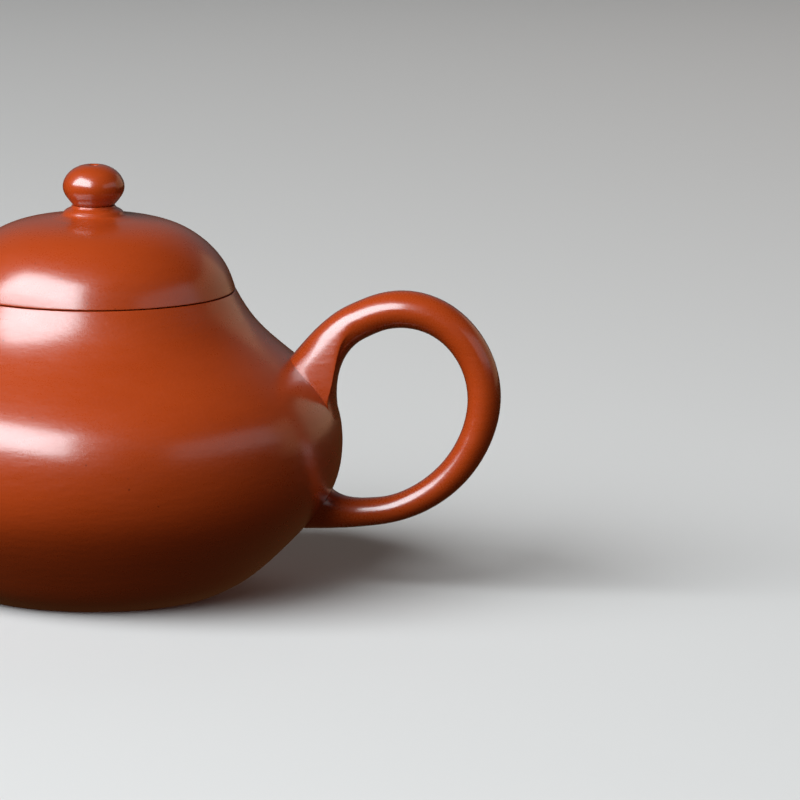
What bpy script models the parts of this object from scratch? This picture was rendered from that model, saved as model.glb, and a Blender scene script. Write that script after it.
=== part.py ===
"""A small pear-shaped teapot in red zhuni clay, with a lid that carries on the body's line.

The pot stands on its flat base, at the origin. Its axis is +Z, the ring handle points along +X and the
spout along -X. Lengths are in millimetres until mm() turns them into Blender's metres. The pieces are
those that a potter makes one by one and joins with slip, and each keeps a joint gap to its neighbours.
"""

import math

import bmesh
import bpy
import numpy as np
from mathutils import Vector

# ---- driving dimensions, in millimetres ---------------------------------------------------------------

JOINT_GAP = 0.3          # left between two pieces that touch
CLEARANCE = 0.3          # running gap between the lid and the mouth that it sits in

# The outside of the pot as (radius, height) knots of one smooth line, from the foot to the mouth.
FOOT_RADIUS = 20.0
MOUTH_RADIUS = 21.6
MOUTH_HEIGHT = 46.0
BODY_LINE = [
    (FOOT_RADIUS, 0.0), (24.0, 2.1), (29.0, 6.4), (33.5, 11.2), (36.7, 16.0), (38.0, 22.9),
    (36.6, 29.3), (32.6, 34.0), (28.2, 37.7), (24.3, 41.7), (MOUTH_RADIUS, MOUTH_HEIGHT),
]
WALL = 2.6
BODY_STEPS = 22          # points along the outer line

BASE_RADIUS = 17.5       # the disc let into the foot
BASE_THICKNESS = 2.6

MOUTH_LAND = 18.9        # inner radius of the wall at the level of the mouth
MOUTH_OPENING = 17.0     # inner radius of the ring inside the mouth
MOUTH_RING_DEPTH = 4.6

# The outside of the lid, from its edge to the middle of its crown.
VENT_RADIUS = 0.55
LID_HEIGHT = 57.4
LID_LINE = [
    (MOUTH_RADIUS, MOUTH_HEIGHT), (20.4, 49.15), (17.7, 52.6), (13.5, 55.4), (8.0, 56.85),
    (VENT_RADIUS, LID_HEIGHT),
]
LID_WALL = 2.4
LID_STEPS = 12

FLANGE_OUTER = MOUTH_OPENING - CLEARANCE
FLANGE_WALL = 1.9
FLANGE_BOTTOM = 40.6
FLANGE_TOP = 49.4

SEAT_LINE = [(3.15, 58.8), (3.3, 58.4), (3.7, 57.9), (4.4, 57.55)]
KNOB_LINE = [
    (VENT_RADIUS, 65.0), (1.4, 64.95), (2.5, 64.62), (3.45, 64.05), (4.25, 63.0), (4.64, 61.5),
    (4.42, 60.3), (3.9, 59.6), (3.05, 59.1),
]

# Centre lines in the XZ plane as (x, z, radius) knots. Both ends of the handle and the near end of the
# spout start inside the body, and are cut back to its surface.
HANDLE_LINE = [
    (29.5, 26.5, 6.0), (32.9, 31.8, 4.9), (35.2, 36.6, 3.3), (37.6, 39.8, 2.9), (41.4, 42.4, 2.75),
    (46.7, 43.9, 2.79), (52.8, 42.5, 2.72), (57.5, 38.0, 2.56), (59.7, 30.7, 2.47), (58.7, 25.0, 2.38),
    (55.1, 18.9, 2.26), (49.6, 14.6, 2.11), (43.0, 12.6, 2.08), (38.2, 12.6, 2.5), (34.2, 13.3, 3.4),
    (29.8, 14.4, 4.4),
]
HANDLE_STEPS = 50
SPOUT_LINE = [
    (-26.0, 16.5, 10.2), (-34.0, 20.8, 9.4), (-39.5, 25.0, 7.9), (-44.0, 29.6, 6.4), (-48.0, 35.4, 5.3),
    (-51.4, 42.0, 4.6), (-54.0, 48.6, 4.2), (-55.6, 54.0, 4.0),
]
SPOUT_STEPS = 22
SPOUT_WALL = 1.6
SPOUT_LIP_HEIGHT = 45.8
SPOUT_LIP_TILT = 12.0    # degrees that the cut lip leans outward

STRAINER_HEIGHT = 22.6
STRAINER_RADIUS = 6.0
STRAINER_RISE = 3.0      # how far its dome reaches into the pot
STRAINER_THICKNESS = 1.5
STRAINER_BACK = 37.0     # distance of its outer edge from the pot's axis
STRAINER_HOLE_RADIUS = 0.7
STRAINER_RINGS = [(2.0, 6), (4.0, 12)]   # (radius of the ring of holes, number of holes)

ROUND = 48               # sides of the large turned pieces
ROUND_SMALL = 32         # sides of the knob and its seat
ROUND_STRAINER = 24
DRILL_SIDES = 8

CLAY_COLOUR = (0.36, 0.075, 0.024, 1.0)
INNER_CLAY_COLOUR = (0.34, 0.085, 0.034, 1.0)


# ---- geometry helpers ---------------------------------------------------------------------------------

def mm(value):
    """Millimetres to metres."""
    return value * 0.001


def smooth_line(knots, count):
    """Return count points on the natural cubic spline through the knots, evenly spaced along it."""
    knots = np.array(knots, float)
    chord = np.linalg.norm(np.diff(knots[:, :2], axis=0), axis=1)
    last = len(knots) - 1
    matrix = np.zeros((last + 1, last + 1))
    right = np.zeros_like(knots)
    matrix[0, 0] = matrix[last, last] = 1.0
    for i in range(1, last):
        matrix[i, i - 1:i + 2] = chord[i - 1], 2.0 * (chord[i - 1] + chord[i]), chord[i]
        slope_after = (knots[i + 1] - knots[i]) / chord[i]
        slope_before = (knots[i] - knots[i - 1]) / chord[i - 1]
        right[i] = 6.0 * (slope_after - slope_before)
    bend = np.linalg.solve(matrix, right)
    starts = np.concatenate([[0.0], np.cumsum(chord)])
    points = []
    for distance in np.linspace(0.0, starts[-1], count):
        i = min(int(np.searchsorted(starts, distance, side="right")) - 1, last - 1)
        after = distance - starts[i]
        before = chord[i] - after
        points.append(
            (bend[i] * before ** 3 + bend[i + 1] * after ** 3) / (6.0 * chord[i])
            + (knots[i] / chord[i] - bend[i] * chord[i] / 6.0) * before
            + (knots[i + 1] / chord[i] - bend[i + 1] * chord[i] / 6.0) * after
        )
    return np.array(points)


def offset_line(points, distance):
    """Move each point of a (radius, height) line by distance to its right-hand side."""
    along = np.gradient(points, axis=0)
    along /= np.linalg.norm(along, axis=1)[:, None]
    right = np.stack([along[:, 1], -along[:, 0]], axis=1)
    return points + right * distance


def between(points, low, high):
    """Keep the points of a line whose heights lie between low and high."""
    return [tuple(p) for p in points if low < p[1] < high]


def radius_at(points, height):
    """Radius of a line at a height, where the line rises all the way."""
    return float(np.interp(height, points[:, 1], points[:, 0]))


def height_at(points, radius):
    """Height of a line at a radius, where its radius falls all the way as it rises."""
    return float(np.interp(-radius, -points[:, 0], points[:, 1]))


# ---- object helpers -----------------------------------------------------------------------------------

def clear_scene():
    for item in list(bpy.data.objects):
        bpy.data.objects.remove(item, do_unlink=True)


def new_collection(name):
    collection = bpy.data.collections.new(name)
    bpy.context.scene.collection.children.link(collection)
    return collection


def clay(name, colour, roughness):
    material = bpy.data.materials.new(name)
    material.use_nodes = True
    shader = material.node_tree.nodes["Principled BSDF"]
    shader.inputs["Base Color"].default_value = colour
    shader.inputs["Roughness"].default_value = roughness
    shader.inputs["Metallic"].default_value = 0.0
    return material


def turned(name, outline, sides, collection):
    """Turn a closed (radius, height) outline about +Z. It runs down its outer side first."""
    mesh = bpy.data.meshes.new(name)
    count = len(outline)
    vertices = [(mm(radius), 0.0, mm(height)) for radius, height in outline]
    mesh.from_pydata(vertices, [(i, (i + 1) % count) for i in range(count)], [])
    item = bpy.data.objects.new(name, mesh)
    collection.objects.link(item)
    screw = item.modifiers.new("turn", "SCREW")
    screw.axis = "Z"
    screw.angle = math.tau
    screw.steps = sides
    screw.render_steps = sides
    screw.use_merge_vertices = True
    screw.merge_threshold = 0.00001
    screw.use_smooth_shade = True
    return item


def tube(name, line, collection, sides_level=4):
    """Make a closed mesh tube along (x, z, radius) points in the XZ plane."""
    curve = bpy.data.curves.new(name, "CURVE")
    curve.dimensions = "3D"
    curve.bevel_depth = mm(1.0)
    curve.bevel_resolution = sides_level
    curve.use_fill_caps = True
    spline = curve.splines.new("POLY")
    spline.points.add(len(line) - 1)
    for point, (x, z, radius) in zip(spline.points, line):
        point.co = (mm(x), 0.0, mm(z), 1.0)
        point.radius = radius
    rope = bpy.data.objects.new(name + "_curve", curve)
    collection.objects.link(rope)
    bpy.context.view_layer.update()
    depsgraph = bpy.context.evaluated_depsgraph_get()
    mesh = bpy.data.meshes.new_from_object(rope.evaluated_get(depsgraph))
    place = rope.matrix_world.copy()
    bpy.data.objects.remove(rope, do_unlink=True)
    work = bmesh.new()
    work.from_mesh(mesh)
    bmesh.ops.remove_doubles(work, verts=work.verts, dist=0.00001)
    bmesh.ops.recalc_face_normals(work, faces=work.faces)
    work.to_mesh(mesh)
    work.free()
    mesh.name = name
    mesh.shade_smooth()
    item = bpy.data.objects.new(name, mesh)
    item.matrix_world = place
    collection.objects.link(item)
    return item


def as_cutter(item):
    item.hide_render = True
    item.display_type = "WIRE"
    return item


def cut(item, cutter, label):
    boolean = item.modifiers.new(label, "BOOLEAN")
    boolean.operation = "DIFFERENCE"
    boolean.solver = "EXACT"
    boolean.object = cutter


def finish_piece(item, material):
    item.data.materials.append(material)
    return item


# ---- the pot's own lines ------------------------------------------------------------------------------

def body_outside():
    return smooth_line(BODY_LINE, BODY_STEPS)


def body_inside(extra=0.0):
    """The wall's inner line, rising to the mouth, with the extra distance further in."""
    line = offset_line(body_outside(), -(WALL + extra))
    line = line[line[:, 1] < MOUTH_HEIGHT - 1.6]
    return np.vstack([line, (MOUTH_LAND - extra, MOUTH_HEIGHT)])


def lid_outside():
    return smooth_line(LID_LINE, LID_STEPS)


# ---- pieces of the pot --------------------------------------------------------------------------------

def make_body_wall(parts, cutters, material):
    outside = body_outside()
    inside = body_inside()
    socket = BASE_RADIUS + JOINT_GAP
    outline = [tuple(p) for p in outside[::-1]]
    outline.append((socket, 0.0))
    outline.append((socket, BASE_THICKNESS))
    outline.extend(between(inside, BASE_THICKNESS + 0.6, MOUTH_HEIGHT + JOINT_GAP))
    wall = turned("body_wall", outline, ROUND, parts)
    hole = round_cutter("strainer_hole_cutter", STRAINER_RADIUS + JOINT_GAP, cutters)
    cut(wall, hole, "strainer hole")
    return finish_piece(wall, material)


def round_cutter(name, radius, cutters):
    """A cylinder along X through the wall behind the spout."""
    bpy.ops.mesh.primitive_cylinder_add(
        vertices=ROUND_SMALL,
        radius=mm(radius),
        depth=mm(16.0),
        location=(-mm(STRAINER_BACK), 0.0, mm(STRAINER_HEIGHT)),
        rotation=(0.0, math.radians(90.0), 0.0),
    )
    cutter = bpy.context.object
    cutter.name = name
    move_to(cutter, cutters)
    return as_cutter(cutter)


def move_to(item, collection):
    for owner in list(item.users_collection):
        owner.objects.unlink(item)
    collection.objects.link(item)


def make_base_disc(parts, material):
    bpy.ops.mesh.primitive_cylinder_add(
        vertices=ROUND,
        radius=mm(BASE_RADIUS),
        depth=mm(BASE_THICKNESS),
        location=(0.0, 0.0, mm(BASE_THICKNESS / 2.0)),
    )
    disc = bpy.context.object
    disc.name = "base_disc"
    move_to(disc, parts)
    return finish_piece(disc, material)


def make_mouth_ring(parts, material):
    """The thicker ring inside the mouth, which the lid's flange drops into."""
    bottom = MOUTH_HEIGHT - MOUTH_RING_DEPTH
    back = body_inside(JOINT_GAP)
    low_radius = radius_at(back, bottom)
    outline = between(back, bottom + 0.5, MOUTH_HEIGHT + JOINT_GAP)[::-1]
    outline += [
        (low_radius, bottom),
        (low_radius - 0.9, bottom - 0.15),
        (MOUTH_OPENING + 0.8, bottom + 1.5),
        (MOUTH_OPENING, bottom + 2.4),
        (MOUTH_OPENING, MOUTH_HEIGHT - 0.3),
        (MOUTH_OPENING + 0.3, MOUTH_HEIGHT),
    ]
    return finish_piece(turned("mouth_ring", outline, ROUND, parts), material)


def make_strainer(parts, cutters, material):
    """A domed filter with small round holes, seated in the wall behind the spout."""
    base = STRAINER_RADIUS
    sphere = (base ** 2 + STRAINER_RISE ** 2) / (2.0 * STRAINER_RISE)
    inner = sphere - STRAINER_THICKNESS
    centre = STRAINER_RISE - sphere
    edge = math.asin(base / sphere)
    start = math.asin(STRAINER_HOLE_RADIUS / sphere)
    angles = np.linspace(start, edge, 7)
    outline = [(sphere * math.sin(a), centre + sphere * math.cos(a)) for a in angles]
    outline.append((base, -STRAINER_THICKNESS))
    outline.append((base - STRAINER_THICKNESS, -STRAINER_THICKNESS))
    inner_edge = math.asin((base - STRAINER_THICKNESS) / inner)
    inner_start = math.asin(STRAINER_HOLE_RADIUS / inner)
    for a in np.linspace(inner_edge, inner_start, 5):
        outline.append((inner * math.sin(a), centre + inner * math.cos(a)))
    dome = turned("strainer", outline, ROUND_STRAINER, parts)
    dome.location = (-mm(STRAINER_BACK - STRAINER_THICKNESS), 0.0, mm(STRAINER_HEIGHT))
    dome.rotation_euler = (0.0, math.radians(90.0), 0.0)
    drill = drills("strainer_drills", cutters)
    drill.location = dome.location
    drill.rotation_euler = dome.rotation_euler
    cut(dome, drill, "filter holes")
    return finish_piece(dome, material)


def drills(name, cutters):
    """One mesh of thin upright cylinders in rings, each a separate closed body."""
    work = bmesh.new()
    for ring_radius, count in STRAINER_RINGS:
        for index in range(count):
            angle = math.tau * (index + 0.5) / count
            created = bmesh.ops.create_cone(
                work,
                cap_ends=True,
                segments=DRILL_SIDES,
                radius1=mm(STRAINER_HOLE_RADIUS),
                radius2=mm(STRAINER_HOLE_RADIUS),
                depth=mm(14.0),
            )
            shift = Vector((mm(ring_radius) * math.cos(angle), mm(ring_radius) * math.sin(angle), 0.0))
            bmesh.ops.translate(work, verts=created["verts"], vec=shift)
    mesh = bpy.data.meshes.new(name)
    work.to_mesh(mesh)
    work.free()
    item = bpy.data.objects.new(name, mesh)
    cutters.objects.link(item)
    return as_cutter(item)


def make_envelope(cutters):
    """The body's outer form grown by the joint gap, with a bore: it cuts what is joined to the body."""
    grown = offset_line(body_outside(), JOINT_GAP)
    outline = [tuple(p) for p in grown[::-1]]
    outline.append((8.0, -1.0))
    outline.append((8.0, MOUTH_HEIGHT - 1.0))
    return as_cutter(turned("body_envelope", outline, ROUND, cutters))


def make_handle(parts, envelope, material):
    handle = tube("handle", smooth_line(HANDLE_LINE, HANDLE_STEPS), parts)
    cut(handle, envelope, "fit to body")
    return finish_piece(handle, material)


def make_spout(parts, cutters, envelope, material):
    line = smooth_line(SPOUT_LINE, SPOUT_STEPS)
    spout = tube("spout", line, parts, sides_level=6)
    bore_line = line.copy()
    bore_line[:, 2] -= SPOUT_WALL
    bore_line[0, :2] -= line[1, :2] - line[0, :2]
    bore_line[-1, :2] += line[-1, :2] - line[-2, :2]
    bore = as_cutter(tube("spout_bore", bore_line, cutters, sides_level=6))
    cut(spout, envelope, "fit to body")
    cut(spout, bore, "bore")
    cut(spout, lip_cutter(cutters), "lip")
    return finish_piece(spout, material)


def lip_cutter(cutters):
    """A block whose tilted underside trims the spout's tip."""
    size = 30.0
    tilt = math.radians(SPOUT_LIP_TILT)
    centre_x = -53.0 - math.sin(tilt) * size / 2.0
    centre_z = SPOUT_LIP_HEIGHT + math.cos(tilt) * size / 2.0
    bpy.ops.mesh.primitive_cube_add(
        size=mm(size),
        location=(mm(centre_x), 0.0, mm(centre_z)),
        rotation=(0.0, -tilt, 0.0),
    )
    block = bpy.context.object
    block.name = "lip_cutter"
    move_to(block, cutters)
    return as_cutter(block)


# ---- pieces of the lid --------------------------------------------------------------------------------

def make_lid_dome(parts, material):
    """The domed top, with a flat land around its edge that rests on the mouth."""
    edge = MOUTH_HEIGHT + CLEARANCE
    outside = lid_outside()
    inside = offset_line(outside, -LID_WALL)
    socket = FLANGE_OUTER + JOINT_GAP
    outline = [tuple(p) for p in outside[:0:-1]]
    outline.append((radius_at(outside, edge), edge))
    outline.append((socket, edge))
    outline.append((socket, height_at(inside, socket)))
    outline.extend(tuple(p) for p in inside if VENT_RADIUS + 1.0 < p[0] < socket - 0.8)
    outline.append((VENT_RADIUS, LID_HEIGHT - LID_WALL))
    return finish_piece(turned("lid_dome", outline, ROUND, parts), material)


def make_lid_flange(parts, material):
    """The ring under the lid that keeps it centred in the mouth."""
    inner = FLANGE_OUTER - FLANGE_WALL
    outline = [
        (FLANGE_OUTER, FLANGE_TOP),
        (FLANGE_OUTER, FLANGE_BOTTOM + 0.7),
        (FLANGE_OUTER - 0.5, FLANGE_BOTTOM),
        (inner + 0.3, FLANGE_BOTTOM),
        (inner, FLANGE_BOTTOM + 0.4),
        (inner, FLANGE_TOP),
    ]
    return finish_piece(turned("lid_flange", outline, ROUND, parts), material)


def make_knob_seat(parts, material):
    """The small flared pad between the lid's crown and the knob."""
    crown = lid_outside()
    foot_radius = SEAT_LINE[-1][0]
    outline = list(SEAT_LINE)
    outline.append((foot_radius, height_at(crown, foot_radius) + JOINT_GAP))
    outline.append((VENT_RADIUS, LID_HEIGHT + JOINT_GAP))
    outline.append((VENT_RADIUS, SEAT_LINE[0][1]))
    return finish_piece(turned("knob_seat", outline, ROUND_SMALL, parts), material)


def make_knob(parts, material):
    outline = [tuple(p) for p in smooth_line(KNOB_LINE, 14)]
    outline.append((VENT_RADIUS, KNOB_LINE[-1][1]))
    return finish_piece(turned("knob", outline, ROUND_SMALL, parts), material)


# ---- build --------------------------------------------------------------------------------------------

def build():
    clear_scene()
    parts = new_collection("yixing_teapot")
    cutters = new_collection("cutters")
    envelope = make_envelope(cutters)

    make_body_wall(parts, cutters, clay("body clay", CLAY_COLOUR, 0.42))
    make_base_disc(parts, clay("base clay", INNER_CLAY_COLOUR, 0.6))
    make_mouth_ring(parts, clay("mouth clay", INNER_CLAY_COLOUR, 0.55))
    make_strainer(parts, cutters, clay("strainer clay", INNER_CLAY_COLOUR, 0.6))
    make_handle(parts, envelope, clay("handle clay", CLAY_COLOUR, 0.38))
    make_spout(parts, cutters, envelope, clay("spout clay", CLAY_COLOUR, 0.4))

    make_lid_dome(parts, clay("lid clay", CLAY_COLOUR, 0.42))
    make_lid_flange(parts, clay("flange clay", INNER_CLAY_COLOUR, 0.55))
    make_knob_seat(parts, clay("knob seat clay", CLAY_COLOUR, 0.4))
    make_knob(parts, clay("knob clay", CLAY_COLOUR, 0.36))


build()
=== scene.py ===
import math

import bmesh
import bpy
import numpy as np
from mathutils import Matrix, Vector, noise


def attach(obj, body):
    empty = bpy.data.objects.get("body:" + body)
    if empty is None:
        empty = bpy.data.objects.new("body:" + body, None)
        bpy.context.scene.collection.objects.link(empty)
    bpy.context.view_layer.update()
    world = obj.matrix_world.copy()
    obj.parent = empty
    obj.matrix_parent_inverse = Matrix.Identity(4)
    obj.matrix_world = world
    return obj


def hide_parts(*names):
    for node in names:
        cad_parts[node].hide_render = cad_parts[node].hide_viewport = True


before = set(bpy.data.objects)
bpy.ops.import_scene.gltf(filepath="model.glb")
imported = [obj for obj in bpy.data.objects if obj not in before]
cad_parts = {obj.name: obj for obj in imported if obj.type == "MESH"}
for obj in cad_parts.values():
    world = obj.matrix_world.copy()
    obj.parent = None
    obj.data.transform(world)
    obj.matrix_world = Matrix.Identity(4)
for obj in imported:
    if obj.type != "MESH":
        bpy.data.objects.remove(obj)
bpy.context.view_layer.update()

# The looks of a small burnished zhuni teapot. Shapes are worked out in millimetres, with the pot's axis on
# +Z, the handle along +X and the spout along -X, and turned into Blender's metres when a mesh is made.

MILLIMETRE = 0.001        # in metres

# ---- the pot's own dimensions, in millimetres ---------------------------------------------------------

MOUTH_RADIUS = 21.6
MOUTH_HEIGHT = 46.0
BODY_LINE = [
    (20.0, 0.0), (24.0, 2.1), (29.0, 6.4), (33.5, 11.2), (36.7, 16.0), (38.0, 22.9),
    (36.6, 29.3), (32.6, 34.0), (28.2, 37.7), (24.3, 41.7), (MOUTH_RADIUS, MOUTH_HEIGHT),
]
BASE_RADIUS = BODY_LINE[0][0]
FOOT_ROUNDING = 0.9
WALL = 2.6
FLOOR_HEIGHT = 2.6
MOUTH_OPENING = 17.0
MOUTH_RIM_DEPTH = 2.6     # straight part of the opening, before it widens into the body
MOUTH_RING_DEPTH = 4.6
LAND_EDGE = 0.13          # rounding of the two edges that meet at the lid's seam

VENT_RADIUS = 0.55
LID_LINE = [
    (MOUTH_RADIUS, MOUTH_HEIGHT), (20.4, 49.15), (17.7, 52.6), (13.5, 55.4), (8.0, 56.85),
    (VENT_RADIUS, 57.4),
]
LID_WALL = 2.4
SEAM = 0.14               # open line between the lid and the mouth
SOCKET_PLAY = 0.3         # room between the flange and the lid's inner edge
FLANGE_OUTER = 16.7
FLANGE_INNER = 14.8
FLANGE_TOP = 49.4
FLANGE_BOTTOM = 40.6
PAD_TOP = 58.84
PAD_BOTTOM = 56.2         # inside the dome's wall
PAD_LIFT = [              # height of the knob's pad above the crown, at each radius
    (3.28, 1.48), (3.37, 1.32), (3.7, 1.14), (4.1, 0.95), (4.4, 0.76), (4.58, 0.54), (4.76, 0.34),
    (5.5, 0.12), (6.5, 0.02), (7.6, -0.02),
]
KNOB_RIM_REACH = 0.5      # how far the knob's soft vent rim reaches inward and down
KNOB_RIM_DEPTH = 0.43
KNOB_LINE = [
    (1.05, 64.98), (1.7, 64.9), (2.5, 64.62), (3.35, 64.12), (4.05, 63.4), (4.5, 62.6), (4.68, 61.8),
    (4.58, 61.0), (4.24, 60.3), (3.72, 59.6), (3.25, 59.05), (3.0, 58.84),
]

# Centre lines in the XZ plane as (x, z, radius) knots, where each limb is clear of its root.
HANDLE_LINE = [
    (40.4, 41.93, 2.8), (43.4, 43.25, 2.78), (46.7, 43.9, 2.83), (52.8, 42.5, 2.76),
    (57.5, 38.0, 2.62), (59.7, 30.7, 2.53), (58.7, 25.0, 2.43), (55.1, 18.9, 2.3), (49.6, 14.6, 2.14),
    (45.2, 12.98, 2.07), (41.6, 12.5, 2.17),
]
SPOUT_LINE = [
    (-43.0, 28.5, 6.7), (-45.6, 31.7, 5.95), (-48.4, 36.0, 5.3), (-51.4, 42.0, 4.65), (-54.0, 48.6, 4.2),
]
SPOUT_WALL = 1.6
SPOUT_LIP_HEIGHT = 45.8
SPOUT_LIP_TILT = math.radians(12.0)
LIP_X = -53.0             # where the lip's plane is at its stated height
LIP_ROUNDING = 0.55
HANDLE_WIDTH = 1.18       # front-to-back depth of the handle, as a share of its thickness

# Half of each root's outline on the body, as (sideways, height), from the limb's outer side to its inner.
HANDLE_TOP_FLANK = [
    (0.0, 36.1), (1.7, 35.8), (3.1, 35.0), (4.0, 33.9), (4.45, 32.6), (4.7, 31.2), (4.85, 29.6),
]
HANDLE_TOP_UNDER = [(4.85, 29.6), (4.3, 27.9), (2.7, 26.7), (0.0, 26.3)]
HANDLE_TIP = 0.57         # share of the top root's outline at which the crisp flank ends
FLANK_RISE = 51.0         # degrees above level at which the clay leaves the flank, and the underside
UNDER_RISE = 98.0
FOOT_FALL = 45.0          # degrees below level at which it leaves the inner side of the handle's foot
HANDLE_FOOT = [(0.0, 9.85), (2.3, 10.3), (3.6, 12.0), (3.7, 13.8), (2.3, 15.4), (0.0, 16.0)]
SPOUT_FOOT = [(0.0, 12.6), (4.6, 14.0), (7.9, 18.0), (8.5, 23.0), (7.0, 28.8), (3.6, 32.5), (0.0, 33.6)]

STRAINER_HEIGHT = 22.6
STRAINER_RADIUS = 6.0
STRAINER_RISE = 3.0
STRAINER_THICKNESS = 1.5
STRAINER_BACK = 37.0
STRAINER_HOLE_RADIUS = 0.7
STRAINER_RINGS = [(2.0, 6), (4.0, 12)]        # radius and number of holes

ROOT_DEPTH = 0.5          # how far a limb's root runs on inside the wall
ROOT_BITE = 0.02          # how far a root's visible edge starts under the body's surface
HAND_WOBBLE = 0.05        # unevenness left by shaping and burnishing by hand
VERTEX_SPACING = 1.2      # longest step along a turned outline
FINE_SPACING = 0.5        # the same on the knob and its pad
CREASE = math.radians(40.0)

# ---- the photograph's viewing angle, in metres and degrees --------------------------------------------

CAMERA_DISTANCE = 1.0
CAMERA_AIM = (0.04645, 0.00478, 0.02907)
CAMERA_AZIMUTH = 5.276
CAMERA_ELEVATION = 10.223
CAMERA_ROLL = 0.484
CAMERA_LENS = 295.1       # in millimetres, on a sensor 36 mm wide
CAMERA_SENSOR = 36.0
VIEW_AZIMUTH = 8.0        # where the camera stands, seen from the pot's axis

# ---- light and colour ---------------------------------------------------------------------------------

# Soft upright lights: degrees rightward of the camera, distance, bottom and top above the floor and width
# in metres, radiance, colour, and whether the clay mirrors them.
LIGHTS = {
    "window": (-50.6, 0.8, 0.345, 1.3, 1.29, 9.3, (0.89, 0.98, 1.05), True),
    "side_wall": (66.0, 0.9, 0.2, 0.6, 1.0, 0.45, (0.95, 0.97, 1.0), True),
    "back_fill": (178.0, 0.9, 0.25, 0.95, 0.9, 0.6, (0.95, 0.98, 1.0), False),
    "warm_fill": (122.0, 0.9, 0.0, 0.5, 0.9, 0.42, (1.0, 0.55, 0.3), True),
}
BELOW_COLOUR = (0.055, 0.022, 0.008, 1.0)     # brown table, as the clay sees it
ABOVE_COLOUR = (0.022, 0.018, 0.014, 1.0)     # dim room
WALL_COLOUR = (0.12, 0.13, 0.135, 1.0)        # pale wall behind the pot
BACKDROP_COLOUR = (0.6, 0.6, 0.59, 1.0)       # what the camera sees past the floor
FLOOR_COLOUR = (0.66, 0.62, 0.585, 1.0)
FLOOR_ROUGHNESS = 0.9
FLOOR_HALF_WIDTH = 6.0    # in metres
FLOOR_DROP = 0.00002      # in metres, so that the foot and the floor don't share a plane

CLAY_LIGHT = (0.4, 0.047, 0.0055, 1.0)
CLAY_DARK = (0.36, 0.04, 0.0042, 1.0)
RAW_CLAY_LIGHT = (0.32, 0.07, 0.024, 1.0)
RAW_CLAY_DARK = (0.27, 0.055, 0.018, 1.0)
SKIN = 0.00006            # depth of the burnished clay's fine relief, in metres
RAW_SKIN = 0.0002

# Each clay's light and dark colour, roughness, relief, and the weight and roughness of its coat. The coat is
# the gloss that burnishing and handling give it.
CLAYS = {
    "burnished_clay": (CLAY_LIGHT, CLAY_DARK, 0.31, SKIN, 1.0, 0.22),
    "handled_clay": (CLAY_LIGHT, CLAY_DARK, 0.28, SKIN, 1.0, 0.15),
    "lid_clay": (CLAY_LIGHT, CLAY_DARK, 0.3, SKIN, 1.0, 0.22),
    "raw_clay": (RAW_CLAY_LIGHT, RAW_CLAY_DARK, 0.55, RAW_SKIN, 0.0, 0.22),
}


# ---- lines --------------------------------------------------------------------------------------------

def smooth_line(knots, count):
    """Return count points on the natural cubic spline through the knots, evenly spaced along it."""
    knots = np.array(knots, float)
    chord = np.linalg.norm(np.diff(knots[:, :2], axis=0), axis=1)
    last = len(knots) - 1
    matrix = np.zeros((last + 1, last + 1))
    right = np.zeros_like(knots)
    matrix[0, 0] = matrix[last, last] = 1.0
    for i in range(1, last):
        matrix[i, i - 1:i + 2] = chord[i - 1], 2.0 * (chord[i - 1] + chord[i]), chord[i]
        slope_after = (knots[i + 1] - knots[i]) / chord[i]
        slope_before = (knots[i] - knots[i - 1]) / chord[i - 1]
        right[i] = 6.0 * (slope_after - slope_before)
    bend = np.linalg.solve(matrix, right)
    starts = np.concatenate([[0.0], np.cumsum(chord)])
    points = []
    for distance in np.linspace(0.0, starts[-1], count):
        i = min(int(np.searchsorted(starts, distance, side="right")) - 1, last - 1)
        after = distance - starts[i]
        before = chord[i] - after
        points.append(
            (bend[i] * before ** 3 + bend[i + 1] * after ** 3) / (6.0 * chord[i])
            + (knots[i] / chord[i] - bend[i] * chord[i] / 6.0) * before
            + (knots[i + 1] / chord[i] - bend[i + 1] * chord[i] / 6.0) * after
        )
    return np.array(points)


def offset_line(points, distance):
    """Move each point of a (radius, height) line by distance to its right-hand side."""
    along = np.gradient(points, axis=0)
    along /= np.linalg.norm(along, axis=1)[:, None]
    right = np.stack([along[:, 1], -along[:, 0]], axis=1)
    return points + right * distance


def rounded(points, radii, steps=6):
    """Round the inner corners of an open line: radii has one value per point, 0 for a point left as it is."""
    result = []
    for i, radius in enumerate(radii):
        corner = np.array(points[i], float)
        if radius == 0.0 or i in (0, len(points) - 1):
            result.append(corner)
            continue
        before = np.array(points[i - 1], float) - corner
        after = np.array(points[i + 1], float) - corner
        before_length = np.linalg.norm(before)
        after_length = np.linalg.norm(after)
        angle = math.acos(np.clip(before @ after / before_length / after_length, -1.0, 1.0))
        reach = min(radius / math.tan(angle / 2.0), before_length * 0.49, after_length * 0.49)
        start = corner + before / before_length * reach
        end = corner + after / after_length * reach
        for t in np.linspace(0.0, 1.0, steps):
            result.append((1 - t) ** 2 * start + 2 * t * (1 - t) * corner + t ** 2 * end)
    return np.array(result)


def filled_in(points, spacing):
    """Add points so that no step of a line is longer than spacing."""
    result = [points[0]]
    for here, there in zip(points[:-1], points[1:]):
        parts = max(1, math.ceil(np.linalg.norm(there - here) / spacing))
        for k in range(1, parts + 1):
            result.append(here + (there - here) * k / parts)
    return np.array(result)


def bezier(start, start_pull, end_pull, end, steps):
    """Points of a cubic curve, its two ends included."""
    t = np.linspace(0.0, 1.0, steps)[:, None]
    return (
        (1 - t) ** 3 * start + 3 * (1 - t) ** 2 * t * start_pull
        + 3 * (1 - t) * t ** 2 * end_pull + t ** 3 * end
    )


# ---- surfaces -----------------------------------------------------------------------------------------

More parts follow.
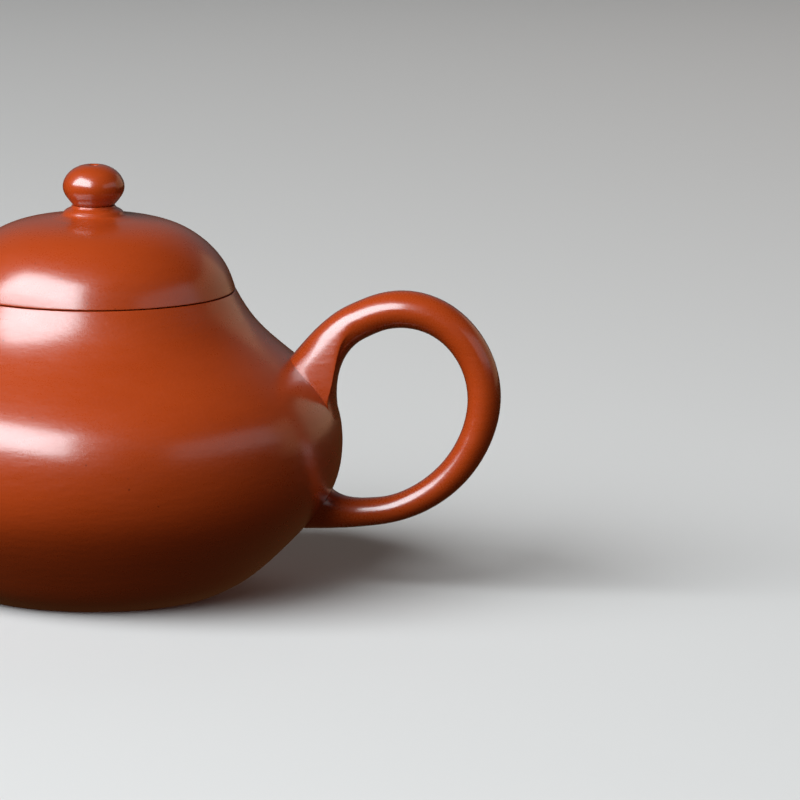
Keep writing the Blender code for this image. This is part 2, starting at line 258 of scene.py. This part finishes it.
def wobble(x, y, z):
    """The hand-made unevenness at a point, in millimetres, the same for every piece."""
    broad = noise.noise(Vector((x, y, z * 1.3)) * 0.035 + Vector((3.1, 0.7, 5.2)))
    close = noise.noise(Vector((x, y, z * 2.0)) * 0.11 + Vector((9.4, 2.6, 1.8)))
    return HAND_WOBBLE * (broad + 0.25 * close)


BODY_SHAPE = smooth_line(BODY_LINE, 400)


def body_radius(height):
    """The body's outer radius at a height, without the wobble."""
    return float(np.interp(height, BODY_SHAPE[:, 1], BODY_SHAPE[:, 0]))


def body_point(sideways, height, side):
    """The point of the body's surface at an arc length sideways from the XZ plane, on the +X or -X side."""
    radius = body_radius(height)
    angle = sideways / radius
    point = np.array([side * radius * math.cos(angle), radius * math.sin(angle), height])
    flat = np.array([point[0], point[1], 0.0]) / radius
    return point + flat * wobble(*point)


def body_normal(sideways, height, side):
    """The direction straight out of the body at the same kind of point."""
    radius = body_radius(height)
    slope = (body_radius(height + 0.2) - body_radius(height - 0.2)) / 0.4
    angle = sideways / radius
    normal = np.array([side * math.cos(angle), math.sin(angle), -slope])
    return normal / np.linalg.norm(normal)


def mesh_object(name, vertices, faces):
    """Make a smooth-shaded object from points in millimetres, with its faces turned outward."""
    mesh = bpy.data.meshes.new(name)
    mesh.from_pydata([tuple(np.array(vertex) * MILLIMETRE) for vertex in vertices], [], faces)
    work = bmesh.new()
    work.from_mesh(mesh)
    bmesh.ops.recalc_face_normals(work, faces=work.faces)
    work.to_mesh(mesh)
    work.free()
    mesh.shade_smooth()
    item = bpy.data.objects.new(name, mesh)
    bpy.context.scene.collection.objects.link(item)
    return item


def ring_faces(rings, sides, joined):
    """Quads between successive rings of points, and from the last back to the first if they are joined."""
    faces = []
    for i in range(rings if joined else rings - 1):
        low = i * sides
        high = ((i + 1) % rings) * sides
        for k in range(sides):
            after = (k + 1) % sides
            faces.append((low + k, low + after, high + after, high + k))
    return faces


def turned(name, outline, sides, uneven=1.0):
    """Turn a line of (radius, height) points about Z. Ends on the axis become single points.

    A line whose ends are off the axis is closed on itself. The wobble fades out at the foot, so that the
    pot stands flat, and towards the axis.
    """
    outline = np.array(outline, float)
    on_axis = outline[0, 0] < 1e-6
    body = outline[1:-1] if on_axis else outline
    angles = np.linspace(0.0, math.tau, sides, endpoint=False)
    vertices = []
    for radius, height in body:
        for angle in angles:
            x, y = radius * math.cos(angle), radius * math.sin(angle)
            grown = 1.0 + uneven * wobble(x, y, height) * min(1.0, height / 3.0) / max(radius, 6.0)
            vertices.append((x * grown, y * grown, height))
    faces = ring_faces(len(body), sides, joined=not on_axis)
    if on_axis:
        first = len(vertices)
        vertices.append((0.0, 0.0, outline[0, 1]))
        vertices.append((0.0, 0.0, outline[-1, 1]))
        last_ring = (len(body) - 1) * sides
        for k in range(sides):
            after = (k + 1) % sides
            faces.append((first, after, k))
            faces.append((first + 1, last_ring + k, last_ring + after))
    return mesh_object(name, vertices, faces)


def cut(item, cutter):
    """Cut holes, keep the result as the mesh, and drop the cutter."""
    boolean = item.modifiers.new("cut", "BOOLEAN")
    boolean.operation = "DIFFERENCE"
    boolean.solver = "EXACT"
    boolean.object = cutter
    bpy.context.view_layer.update()
    mesh = bpy.data.meshes.new_from_object(item.evaluated_get(bpy.context.evaluated_depsgraph_get()))
    item.modifiers.clear()
    item.data = mesh
    bpy.data.objects.remove(cutter, do_unlink=True)
    mesh.shade_smooth()
    mesh.set_sharp_from_angle(angle=CREASE)
    return item


def round_bars(places, radius, length, sides):
    """A temporary cutter: round bars along Z, one at each (x, y) place."""
    work = bmesh.new()
    for x, y in places:
        bar = bmesh.ops.create_cone(
            work, cap_ends=True, segments=sides, radius1=radius * MILLIMETRE,
            radius2=radius * MILLIMETRE, depth=length * MILLIMETRE,
        )
        bmesh.ops.translate(work, verts=bar["verts"], vec=Vector((x, y, 0.0)) * MILLIMETRE)
    mesh = bpy.data.meshes.new("cutter")
    work.to_mesh(mesh)
    work.free()
    item = bpy.data.objects.new("cutter", mesh)
    bpy.context.scene.collection.objects.link(item)
    return item


# ---- limbs: the handle and the spout ------------------------------------------------------------------

class Limb:
    """A tube of clay along a centre line in the XZ plane, with round sections and modelled roots."""

    def __init__(self, line, count, sides, width=1.0, side=1):
        self.points = smooth_line(line, count)
        self.sides = sides
        self.width = width
        self.side = side
        along = np.gradient(self.points[:, :2], axis=0)
        self.along = along / np.linalg.norm(along, axis=1)[:, None]
        self.turns = np.linspace(0.0, math.tau, sides, endpoint=False)

    def ring(self, i, shrink=0.0):
        """The section at point i. Its first point is on the outer side of the limb's bend."""
        x, z, radius = self.points[i]
        tx, tz = self.along[i]
        outer = np.array([-tz, 0.0, tx])
        across = np.array([0.0, 1.0, 0.0])
        radius -= shrink
        centre = np.array([x, 0.0, z])
        return np.array([
            centre + outer * radius * math.cos(turn) + across * radius * self.width * math.sin(turn)
            for turn in self.turns
        ])

    def heading(self, i):
        """The centre line's direction at point i."""
        return np.array([self.along[i][0], 0.0, self.along[i][1]])

    def root(self, i, outline, leaving, pull_out, pull_in, steps, away):
        """Rings from the body's surface to section i.

        outline(share) gives (sideways, height) for a share from 0, the outer side, to 1, the inner side.
        leaving(share, reach, normal) gives the direction in which the clay leaves the body.
        pull_out(share) and pull_in say how far each end's direction is held, as a share of the distance.
        away is +1 when the centre line leaves the body at i, and -1 when it arrives.
        """
        section = self.ring(i)
        onward = self.ring(i + away) - section
        onward /= np.linalg.norm(onward, axis=1)[:, None]
        curves = []
        for turn, end, heading in zip(self.turns, section, onward):
            share = turn / math.pi if turn <= math.pi else 2.0 - turn / math.pi
            hand = 1.0 if turn <= math.pi else -1.0
            sideways, height = outline(share)
            start = body_point(hand * sideways, height, self.side)
            normal = body_normal(hand * sideways, height, self.side)
            reach = end - start
            distance = np.linalg.norm(reach)
            leave = leaving(share, reach, normal)
            leave /= np.linalg.norm(leave)
            start_pull = start + leave * distance * pull_out(share)
            end_pull = end - heading * distance * pull_in
            sunk = start - normal * ROOT_DEPTH
            curve = bezier(start - normal * ROOT_BITE, start_pull, end_pull, end, steps)
            curves.append(np.vstack([sunk, curve]))
        return [np.array([curve[k] for curve in curves]) for k in range(steps + 1)]


def half_outline(knots, count=60):
    """A root's outline as a function of the share of the half turn, evenly spaced along its length."""
    line = smooth_line(knots, count)
    shares = np.linspace(0.0, 1.0, count)

    def outline(share):
        return float(np.interp(share, shares, line[:, 0])), float(np.interp(share, shares, line[:, 1]))

    return outline


def smooth_step(value, low, high):
    """Rise from 0 at low to 1 at high, level at both ends."""
    t = min(1.0, max(0.0, (value - low) / (high - low)))
    return t * t * (3.0 - 2.0 * t)


def loft(name, rings, joined=False):
    """A closed surface through rings of points, capped at both ends unless the rings close on themselves."""
    sides = len(rings[0])
    vertices = [point for ring in rings for point in ring]
    faces = ring_faces(len(rings), sides, joined)
    if not joined:
        for start in (0, (len(rings) - 1) * sides):
            centre = len(vertices)
            vertices.append(np.mean(vertices[start:start + sides], axis=0))
            faces.extend((centre, start + k, start + (k + 1) % sides) for k in range(sides))
    return mesh_object(name, vertices, faces)


# ---- pieces of the pot --------------------------------------------------------------------------------

def make_body():
    """The body with its base and the ring inside its mouth, smoothed into one as the potter leaves it."""
    outer = smooth_line(BODY_LINE, 130)
    inner = offset_line(smooth_line(BODY_LINE, 70), -WALL)[::-1]
    ring_bottom = MOUTH_HEIGHT - MOUTH_RING_DEPTH
    inner = [point for point in inner if FLOOR_HEIGHT + 1.2 < point[1] < ring_bottom - 0.6]
    foot_end = 3              # the outer line's first point above the rounded foot
    foot = rounded([(0.0, 0.0), (BASE_RADIUS, 0.0), outer[foot_end]], [0.0, FOOT_ROUNDING, 0.0])
    lip = rounded(
        [outer[-2], outer[-1], (MOUTH_OPENING, MOUTH_HEIGHT), (MOUTH_OPENING, MOUTH_HEIGHT - MOUTH_RIM_DEPTH),
         (MOUTH_OPENING + 0.9, ring_bottom + 0.5), inner[0]],
        [0.0, LAND_EDGE, 0.35, 0.8, 1.2, 0.0],
    )
    floor_edge = inner[-1][0] - 3.2
    floor = rounded([inner[-1], (floor_edge, FLOOR_HEIGHT), (0.0, FLOOR_HEIGHT)], [0.0, 2.5, 0.0])
    line = np.vstack([foot[:-1], outer[foot_end:-1], lip[1:-1], inner[:-1], floor])
    body = turned("pot_body", filled_in(line, VERTEX_SPACING), 240)
    hole = round_bars([(0.0, 0.0)], STRAINER_RADIUS + 0.05, length=12.0, sides=48)
    hole.location = Vector((-STRAINER_BACK, 0.0, STRAINER_HEIGHT)) * MILLIMETRE
    hole.rotation_euler = (0.0, math.pi / 2, 0.0)
    return cut(body, hole)


def top_outline():
    """The outline of the handle's top root: its pressed flank, and then its soft underside."""
    flank = half_outline(HANDLE_TOP_FLANK)
    under = half_outline(HANDLE_TOP_UNDER)

    def outline(share):
        if share < HANDLE_TIP:
            return flank(share / HANDLE_TIP)
        return under((share - HANDLE_TIP) / (1.0 - HANDLE_TIP))

    return outline


def top_leaving(share, reach, normal):
    """Straight out along the flank, which keeps a crisp edge, and along the body's surface underneath."""
    steepening = smooth_step(share, HANDLE_TIP - 0.08, HANDLE_TIP + 0.12)
    rise = math.radians(FLANK_RISE + (UNDER_RISE - FLANK_RISE) * steepening)
    leave = np.array([math.cos(rise), 0.0, math.sin(rise)])
    softness = smooth_step(share, HANDLE_TIP - 0.02, HANDLE_TIP + 0.1)
    return leave - softness * (leave @ normal) * normal


def foot_leaving(share, reach, normal):
    """Level on the outer side and falling on the inner side, narrowing from a wide root."""
    fall = math.radians(FOOT_FALL * smooth_step(share, 0.3, 1.0))
    inward = 0.5 * math.sin(math.pi * share) * np.sign(reach[1])
    return np.array([math.cos(fall), inward, -math.sin(fall)])


def make_handle():
    """One tapered roll. Its top end is pressed on with a crisp edge, and its foot is smoothed on."""
    count = 150
    limb = Limb(HANDLE_LINE, count, 96, width=HANDLE_WIDTH)
    top = limb.root(
        0, top_outline(), top_leaving,
        pull_out=lambda share: 0.34 + 0.08 * smooth_step(share, HANDLE_TIP, 1.0),
        pull_in=0.34, steps=30, away=1,
    )
    foot = limb.root(
        count - 1, half_outline(HANDLE_FOOT), foot_leaving,
        pull_out=lambda share: 0.3,
        pull_in=0.35, steps=18, away=-1,
    )
    middle = [limb.ring(i) for i in range(1, count - 1)]
    return loft("pot_handle", top + middle + foot[::-1])


def lip_height(x, lower):
    """Height of the lip's tilted plane above a place on the X axis."""
    return SPOUT_LIP_HEIGHT - lower + (x - LIP_X) * math.tan(-SPOUT_LIP_TILT)


def trimmed(limb, shrink, lower, count):
    """Rings of the limb from its root section up to the lip's plane, lowered by lower."""
    sections = np.array([limb.ring(i, shrink) for i in range(len(limb.points))])
    ended = []
    for k in range(limb.sides):
        track = sections[:, k]
        over = np.array([point[2] - lip_height(point[0], lower) for point in track])
        crossing = int(np.argmax(over > 0.0))
        share = -over[crossing - 1] / (over[crossing] - over[crossing - 1])
        end = crossing - 1 + share
        places = np.linspace(0.0, end, count)
        ended.append(np.array([
            [np.interp(place, range(len(track)), track[:, axis]) for axis in range(3)] for place in places
        ]))
    return [np.array([track[j] for track in ended]) for j in range(count)]


def spout_leaving(share, reach, normal):
    """Straight out of the belly below, and along the shoulder's surface above."""
    along = reach - (reach @ normal) * normal
    along /= np.linalg.norm(along)
    out = reach / np.linalg.norm(reach) + 0.3 * normal
    blend = smooth_step(share, 0.3, 1.0)
    return out * (1.0 - blend) + along * blend


def rolled_lip(outside, inside, heading):
    """Half-round rings from the spout's outer edge over to its inner edge."""
    middle = (outside + inside) / 2.0
    half = (outside - inside) / 2.0
    return [
        middle + half * math.cos(angle) + heading * LIP_ROUNDING * math.sin(angle)
        for angle in np.linspace(0.0, math.pi, 9)[1:-1]
    ]


def make_spout():
    """A hollow tapering spout, smoothed onto the body, with a rounded lip."""
    limb = Limb(SPOUT_LINE, 90, 72, side=-1)
    root = limb.root(
        0, half_outline(SPOUT_FOOT), spout_leaving,
        pull_out=lambda share: 0.34,
        pull_in=0.36, steps=20, away=1,
    )
    outside = trimmed(limb, 0.0, LIP_ROUNDING, 70)
    inside = trimmed(limb, SPOUT_WALL, LIP_ROUNDING, 40)
    lip = rolled_lip(outside[-1], inside[-1], limb.heading(-1))
    hole = np.array([
        body_point(
            STRAINER_RADIUS * math.sin(turn), STRAINER_HEIGHT - STRAINER_RADIUS * math.cos(turn), limb.side,
        )
        for turn in limb.turns
    ])
    throat = [
        hole + (inside[0] - hole) * smooth_step(share, 0.0, 1.0) for share in np.linspace(0.0, 0.92, 8)
    ]
    sunk_hole = hole + np.array([ROOT_DEPTH, 0.0, 0.0])
    rings = root + outside[1:] + lip + inside[::-1] + throat[::-1] + [sunk_hole]
    return loft("pot_spout", rings, joined=True)


def strainer_outline():
    """The filter's section: a shallow cap of even thickness, as (radius, height)."""
    sphere = (STRAINER_RADIUS ** 2 + STRAINER_RISE ** 2) / (2.0 * STRAINER_RISE)
    inner = sphere - STRAINER_THICKNESS
    centre = STRAINER_RISE - sphere
    rim = STRAINER_RADIUS - STRAINER_THICKNESS
    outline = [
        (sphere * math.sin(angle), centre + sphere * math.cos(angle))
        for angle in np.linspace(0.0, math.asin(STRAINER_RADIUS / sphere), 16)
    ]
    outline += [(STRAINER_RADIUS, -STRAINER_THICKNESS), (rim, -STRAINER_THICKNESS)]
    outline += [
        (inner * math.sin(angle), centre + inner * math.cos(angle))
        for angle in np.linspace(math.asin(rim / inner), 0.0, 12)
    ]
    return np.array(outline)


def strainer_holes():
    """Where the filter is drilled: once in the middle, and in rings around it."""
    holes = [(0.0, 0.0)]
    for ring_radius, count in STRAINER_RINGS:
        for index in range(count):
            angle = math.tau * (index + 0.5) / count
            holes.append((ring_radius * math.cos(angle), ring_radius * math.sin(angle)))
    return holes


def make_strainer():
    """The domed filter behind the spout, drilled with small round holes."""
    dome = turned("pot_strainer", filled_in(strainer_outline(), 0.8), 64, uneven=0.0)
    cut(dome, round_bars(strainer_holes(), STRAINER_HOLE_RADIUS, length=14.0, sides=20))
    middle = Vector((STRAINER_THICKNESS - STRAINER_BACK, 0.0, STRAINER_HEIGHT)) * MILLIMETRE
    dome.data.transform(Matrix.Translation(middle) @ Matrix.Rotation(math.pi / 2, 4, "Y"))
    return dome


# ---- pieces of the lid --------------------------------------------------------------------------------

def make_lid():
    """The domed cover, with its flat land and its vent hole."""
    skin = smooth_line(LID_LINE, 90)
    edge = MOUTH_HEIGHT + SEAM
    start = np.array([float(np.interp(edge, skin[:, 1], skin[:, 0])), edge])
    outer = skin[skin[:, 1] > edge + 0.25]
    socket = FLANGE_OUTER + SOCKET_PLAY
    inner = offset_line(smooth_line(LID_LINE, 40), -LID_WALL)
    inner = [point for point in inner if VENT_RADIUS + 0.6 < point[0] < socket - 0.6]
    rim = rounded(
        [outer[0], start, (socket, edge), (socket, inner[0][1] - 0.6), inner[0]],
        [0.0, LAND_EDGE, 0.0, 0.0, 0.0],
    )
    crown_to_rim = outer[::-1][:-1]
    line = np.vstack([crown_to_rim, rim, inner[1:], [(VENT_RADIUS, inner[-1][1])]])
    return turned("lid_cover", filled_in(line, VERTEX_SPACING), 200)


def make_flange():
    """The ring under the lid that keeps it centred in the mouth."""
    line = rounded(
        [(FLANGE_OUTER, MOUTH_HEIGHT), (FLANGE_OUTER, FLANGE_TOP), (FLANGE_INNER, FLANGE_TOP),
         (FLANGE_INNER, FLANGE_BOTTOM), (FLANGE_OUTER, FLANGE_BOTTOM), (FLANGE_OUTER, MOUTH_HEIGHT - 0.1)],
        [0.0, 0.1, 0.1, 0.6, 0.7, 0.0],
    )
    return turned("lid_flange_ring", filled_in(line, 0.8), 160, uneven=0.0)


def make_pad():
    """The flared pad that carries the knob, running out into the crown."""
    crown = smooth_line(LID_LINE, 90)[::-1]
    flare = smooth_line(PAD_LIFT, 30)
    flare[:, 1] += np.interp(flare[:, 0], crown[:, 0], crown[:, 1])
    line = np.vstack([
        rounded([(2.9, PAD_TOP), (3.26, PAD_TOP), flare[2]], [0.0, 0.12, 0.0])[:-1],
        flare[2:],
        [(7.0, PAD_BOTTOM), (VENT_RADIUS, PAD_BOTTOM), (VENT_RADIUS, PAD_TOP - 0.06), (2.6, PAD_TOP)],
    ])
    return turned("knob_pad", filled_in(line, FINE_SPACING), 200)


def make_knob():
    """The flattened ball, with its vent hole opening into a soft rim."""
    skin = smooth_line(KNOB_LINE, 60)
    vent_top = KNOB_LINE[0][1] - KNOB_RIM_DEPTH
    rim = [
        (VENT_RADIUS + KNOB_RIM_REACH * (1.0 - math.cos(angle)), vent_top + KNOB_RIM_DEPTH * math.sin(angle))
        for angle in np.linspace(0.0, math.pi / 2, 8)
    ]
    line = np.vstack([rim, skin[1:], [(VENT_RADIUS, PAD_TOP + 0.02), (VENT_RADIUS, 61.5)]])
    return turned("lid_knob", filled_in(line, FINE_SPACING), 128)


# ---- materials ----------------------------------------------------------------------------------------

def add_node(tree, kind, **values):
    """Add a shader node and set its own values."""
    node = tree.nodes.new(kind)
    for key, value in values.items():
        setattr(node, key, value)
    return node


def noise_node(tree, vector, scale, detail, roughness):
    """Noise from 0 to 1. scale is in cells per metre."""
    node = add_node(tree, "ShaderNodeTexNoise")
    node.inputs["Scale"].default_value = scale
    node.inputs["Detail"].default_value = detail
    node.inputs["Roughness"].default_value = roughness
    tree.links.new(vector, node.inputs["Vector"])
    return node.outputs["Fac"]


def mapped(tree, value, from_low, from_high, to_low, to_high):
    """Move a value from one range to another, held at its ends."""
    node = add_node(tree, "ShaderNodeMapRange")
    node.inputs["From Min"].default_value = from_low
    node.inputs["From Max"].default_value = from_high
    node.inputs["To Min"].default_value = to_low
    node.inputs["To Max"].default_value = to_high
    tree.links.new(value, node.inputs["Value"])
    return node.outputs["Result"]


def math_node(tree, operation, first, second):
    """Combine two values, each a number or another node's output."""
    node = add_node(tree, "ShaderNodeMath", operation=operation)
    for socket, value in zip(node.inputs, (first, second)):
        if isinstance(value, (int, float)):
            socket.default_value = value
        else:
            tree.links.new(value, socket)
    return node.outputs[0]


def mix_colour(tree, amount, first, second):
    """Mix two colours, each a tuple or another node's output: all of the first at 0."""
    node = add_node(tree, "ShaderNodeMix", data_type="RGBA")
    sockets = {s.identifier: s for s in node.inputs}
    tree.links.new(amount, sockets["Factor_Float"])
    for key, value in (("A_Color", first), ("B_Color", second)):
        if isinstance(value, tuple):
            sockets[key].default_value = value
        else:
            tree.links.new(value, sockets[key])
    return next(s for s in node.outputs if s.identifier == "Result_Color")


def clay_colour(tree, position, streaks, light, dark):
    """Soft mottling and fine grain between two clays, with scattered dark iron specks."""
    mottle = mapped(tree, noise_node(tree, streaks, 45.0, 4.0, 0.55), 0.3, 0.7, 0.0, 1.0)
    grain = mapped(tree, noise_node(tree, position, 2600.0, 2.0, 0.6), 0.25, 0.75, 0.0, 1.0)
    tone = math_node(tree, "MULTIPLY", mottle, 0.7)
    tone = math_node(tree, "ADD", tone, math_node(tree, "MULTIPLY", grain, 0.3))
    colour = mix_colour(tree, tone, dark, light)

    cells = add_node(tree, "ShaderNodeTexVoronoi")
    cells.inputs["Scale"].default_value = 480.0
    tree.links.new(position, cells.inputs["Vector"])
    dot = mapped(tree, cells.outputs["Distance"], 0.04, 0.1, 1.0, 0.0)
    pick = add_node(tree, "ShaderNodeSeparateColor")
    tree.links.new(cells.outputs["Color"], pick.inputs["Color"])
    chosen = mapped(tree, pick.outputs["Red"], 0.86, 1.0, 0.0, 0.8)
    specks = math_node(tree, "MULTIPLY", dot, chosen)
    iron = (dark[0] * 0.35, dark[1] * 0.3, dark[2] * 0.4, 1.0)
    return mix_colour(tree, specks, colour, iron)


def clay_roughness(tree, position, streaks, middle):
    """Roughness that varies around a middle value, along the burnishing strokes and in the fine grain."""
    rub = mapped(tree, noise_node(tree, streaks, 160.0, 3.0, 0.6), 0.25, 0.75, -0.05, 0.05)
    fine = mapped(tree, noise_node(tree, position, 3200.0, 1.0, 0.5), 0.3, 0.7, -0.03, 0.03)
    return math_node(tree, "ADD", math_node(tree, "ADD", rub, fine), middle)


def clay_relief(tree, position, streaks, depth):
    """The slight waviness left by burnishing, and pores, as a bumped normal."""
    skin = noise_node(tree, streaks, 300.0, 3.0, 0.5)
    pores = noise_node(tree, position, 1700.0, 2.0, 0.6)
    height = math_node(
        tree, "ADD", math_node(tree, "MULTIPLY", skin, 0.7), math_node(tree, "MULTIPLY", pores, 0.25),
    )
    bump = add_node(tree, "ShaderNodeBump")
    bump.inputs["Strength"].default_value = 1.0
    bump.inputs["Distance"].default_value = depth
    tree.links.new(height, bump.inputs["Height"])
    return bump.outputs["Normal"]


def clay_material(name, light, dark, roughness, relief, coat, coat_roughness):
    """Unglazed zhuni clay, drawn out a little along the burnishing strokes."""
    material = bpy.data.materials.new(name)
    material.use_nodes = True
    tree = material.node_tree
    shader = tree.nodes["Principled BSDF"]
    position = add_node(tree, "ShaderNodeTexCoord").outputs["Object"]
    stretch = add_node(tree, "ShaderNodeMapping")
    stretch.inputs["Scale"].default_value = (1.0, 1.0, 3.5)
    tree.links.new(position, stretch.inputs["Vector"])
    streaks = stretch.outputs["Vector"]

    tree.links.new(clay_colour(tree, position, streaks, light, dark), shader.inputs["Base Color"])
    tree.links.new(clay_roughness(tree, position, streaks, roughness), shader.inputs["Roughness"])
    tree.links.new(clay_relief(tree, position, streaks, relief), shader.inputs["Normal"])
    shader.inputs["IOR"].default_value = 1.55
    shader.inputs["Coat Weight"].default_value = coat
    shader.inputs["Coat Roughness"].default_value = coat_roughness
    shader.inputs["Coat IOR"].default_value = 1.5
    return material


def floor_material():
    """A plain matt surface."""
    material = bpy.data.materials.new("pale_floor")
    material.use_nodes = True
    shader = material.node_tree.nodes["Principled BSDF"]
    shader.inputs["Base Color"].default_value = FLOOR_COLOUR
    shader.inputs["Roughness"].default_value = FLOOR_ROUGHNESS
    return material


# ---- stage --------------------------------------------------------------------------------------------

def make_floor():
    """A plain pale floor that catches the pot's shadow but doesn't light the clay or show in it."""
    mesh = bpy.data.meshes.new("floor")
    half = FLOOR_HALF_WIDTH
    corners = [(-half, -half, 0.0), (half, -half, 0.0), (half, half, 0.0), (-half, half, 0.0)]
    mesh.from_pydata(corners, [], [(0, 1, 2, 3)])
    floor = bpy.data.objects.new("floor", mesh)
    bpy.context.scene.collection.objects.link(floor)
    floor.location.z = -FLOOR_DROP
    mesh.materials.append(floor_material())
    floor.visible_diffuse = False
    floor.visible_glossy = False


def area_light(name, azimuth, distance, bottom, top, width, radiance, colour, mirrored):
    """An upright rectangle of soft light, facing the pot.

    It stands at an azimuth counted rightward from the camera's side, and reaches from bottom to top.
    A light that is not mirrored brightens the clay without showing in its shine.
    """
    height = top - bottom
    light = bpy.data.lights.new(name, "AREA")
    light.shape = "RECTANGLE"
    light.size = width
    light.size_y = height
    light.energy = radiance * width * height * math.pi
    light.color = colour
    item = bpy.data.objects.new(name, light)
    angle = math.radians(azimuth + VIEW_AZIMUTH)
    toward = Vector((math.sin(angle), -math.cos(angle), 0.0))
    item.location = toward * distance + Vector((0.0, 0.0, bottom + height / 2.0))
    item.rotation_euler = toward.to_track_quat("Z", "Y").to_euler()
    item.visible_glossy = mirrored
    bpy.context.scene.collection.objects.link(item)


def make_lights():
    """A window at the left, and dimmer light from the room's other sides."""
    for name, values in LIGHTS.items():
        area_light(name, *values)


def make_world():
    """A dim studio with a pale grey wall behind the pot, and a plain pale backdrop for the camera."""
    world = bpy.data.worlds.new("studio")
    world.use_nodes = True
    tree = world.node_tree
    direction = add_node(tree, "ShaderNodeTexCoord").outputs["Generated"]
    split = add_node(tree, "ShaderNodeSeparateXYZ")
    tree.links.new(direction, split.inputs["Vector"])
    behind = mapped(tree, split.outputs["Y"], 0.5, 0.98, 0.0, 1.0)
    above = mapped(tree, split.outputs["Z"], -0.05, 0.2, 0.0, 1.0)
    wall = math_node(tree, "MULTIPLY", behind, above)
    surroundings = mix_colour(tree, above, BELOW_COLOUR, ABOVE_COLOUR)
    surroundings = mix_colour(tree, wall, surroundings, WALL_COLOUR)
    seen = add_node(tree, "ShaderNodeLightPath").outputs["Is Camera Ray"]
    colour = mix_colour(tree, seen, surroundings, BACKDROP_COLOUR)
    tree.links.new(colour, tree.nodes["Background"].inputs["Color"])
    bpy.context.scene.world = world


def make_camera():
    """The photograph's viewing angle."""
    data = bpy.data.cameras.new("camera")
    data.lens = CAMERA_LENS
    data.sensor_width = CAMERA_SENSOR
    data.clip_start = 0.01
    data.clip_end = 50.0
    camera = bpy.data.objects.new("camera", data)
    azimuth = math.radians(CAMERA_AZIMUTH)
    elevation = math.radians(CAMERA_ELEVATION)
    back = Vector((
        math.sin(azimuth) * math.cos(elevation), -math.cos(azimuth) * math.cos(elevation),
        math.sin(elevation),
    ))
    turn = back.to_track_quat("Z", "Y").to_matrix() @ Matrix.Rotation(math.radians(CAMERA_ROLL), 3, "Z")
    camera.matrix_world = Matrix.Translation(Vector(CAMERA_AIM) + back * CAMERA_DISTANCE) @ turn.to_4x4()
    bpy.context.scene.collection.objects.link(camera)
    bpy.context.scene.camera = camera


# ---- put together -------------------------------------------------------------------------------------

def place(piece, body, material, slot, *nodes):
    """Give a piece its clay, and let it stand for its CAD nodes on their body."""
    piece.data.materials.clear()
    piece.data.materials.append(material)
    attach(piece, body)
    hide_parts(*nodes)


def make_pot():
    """All eight pieces. The lid's pieces ride on the lid, and lift with it."""
    clays = {name: clay_material(name, *values) for name, values in CLAYS.items()}
    burnished, handled = clays["burnished_clay"], clays["handled_clay"]
    lid_clay, raw = clays["lid_clay"], clays["raw_clay"]
    place(make_body(), "pot", burnished, "body_clay", "body_wall", "base_disc", "mouth_ring")
    place(make_handle(), "pot", handled, "body_clay", "handle")
    place(make_spout(), "pot", burnished, "body_clay", "spout")
    place(make_strainer(), "pot", raw, "inner_clay", "strainer")
    place(make_lid(), "lid", lid_clay, "lid_clay", "lid_dome")
    place(make_flange(), "lid", raw, "inner_clay", "lid_flange")
    place(make_pad(), "lid", lid_clay, "lid_clay", "knob_seat")
    place(make_knob(), "lid", handled, "lid_clay", "knob")


make_pot()
make_floor()
make_lights()
make_world()
make_camera()
bpy.context.scene.view_settings.view_transform = "Standard"
